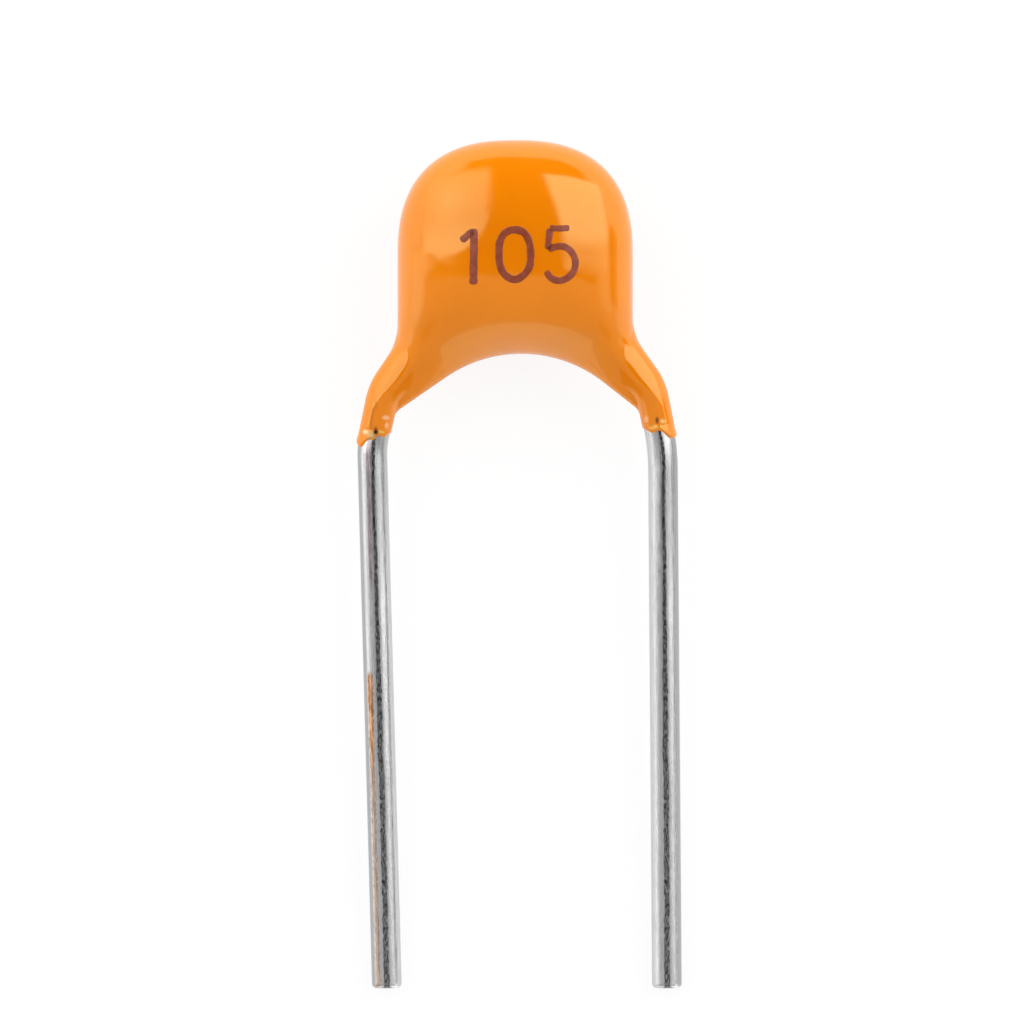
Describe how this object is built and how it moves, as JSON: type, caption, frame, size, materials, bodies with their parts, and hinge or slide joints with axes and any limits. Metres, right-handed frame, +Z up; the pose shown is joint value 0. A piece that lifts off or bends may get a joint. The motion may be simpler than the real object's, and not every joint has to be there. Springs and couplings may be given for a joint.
{
  "type": "multilayer ceramic capacitor",
  "caption": "Radial-lead multilayer ceramic capacitor: a chip dipped in glossy orange epoxy that runs down both legs, with two long tinned wires kinked outward to a wider pitch.",
  "frame": {"origin": "middle of the bounding box's bottom face, on the surface the part lies on", "axes": "+Y from the tips of the leads towards the top of the body, along the part's length; +Z up through the thickness, out of the marked face; +X to the right as the marked face is read"},
  "size_m": [0.0057, 0.015, 0.0024],
  "materials": {
    "epoxy_coating": "glossy",
    "ceramic": "matte",
    "electrode_metal": "satin",
    "copper": "satin",
    "nickel": "satin",
    "tin": "satin",
    "solder": "glossy",
    "tinned_wire": "satin"
  },
  "bodies": {
    "root": {"coating": "epoxy_coating", "ceramic_chip": "ceramic", "left_electrode_1": "electrode_metal", "left_electrode_2": "electrode_metal", "left_electrode_3": "electrode_metal", "left_electrode_4": "electrode_metal", "left_electrode_5": "electrode_metal", "left_electrode_6": "electrode_metal", "left_electrode_7": "electrode_metal", "left_electrode_8": "electrode_metal", "left_electrode_9": "electrode_metal", "left_electrode_10": "electrode_metal", "right_electrode_1": "electrode_metal", "right_electrode_2": "electrode_metal", "right_electrode_3": "electrode_metal", "right_electrode_4": "electrode_metal", "right_electrode_5": "electrode_metal", "right_electrode_6": "electrode_metal", "right_electrode_7": "electrode_metal", "right_electrode_8": "electrode_metal", "right_electrode_9": "electrode_metal", "right_electrode_10": "electrode_metal", "left_copper_termination": "copper", "right_copper_termination": "copper", "left_nickel_barrier": "nickel", "right_nickel_barrier": "nickel", "left_tin_finish": "tin", "right_tin_finish": "tin", "left_solder_joint": "solder", "right_solder_joint": "solder", "left_lead": "tinned_wire", "right_lead": "tinned_wire"}
  },
  "joints": []
}
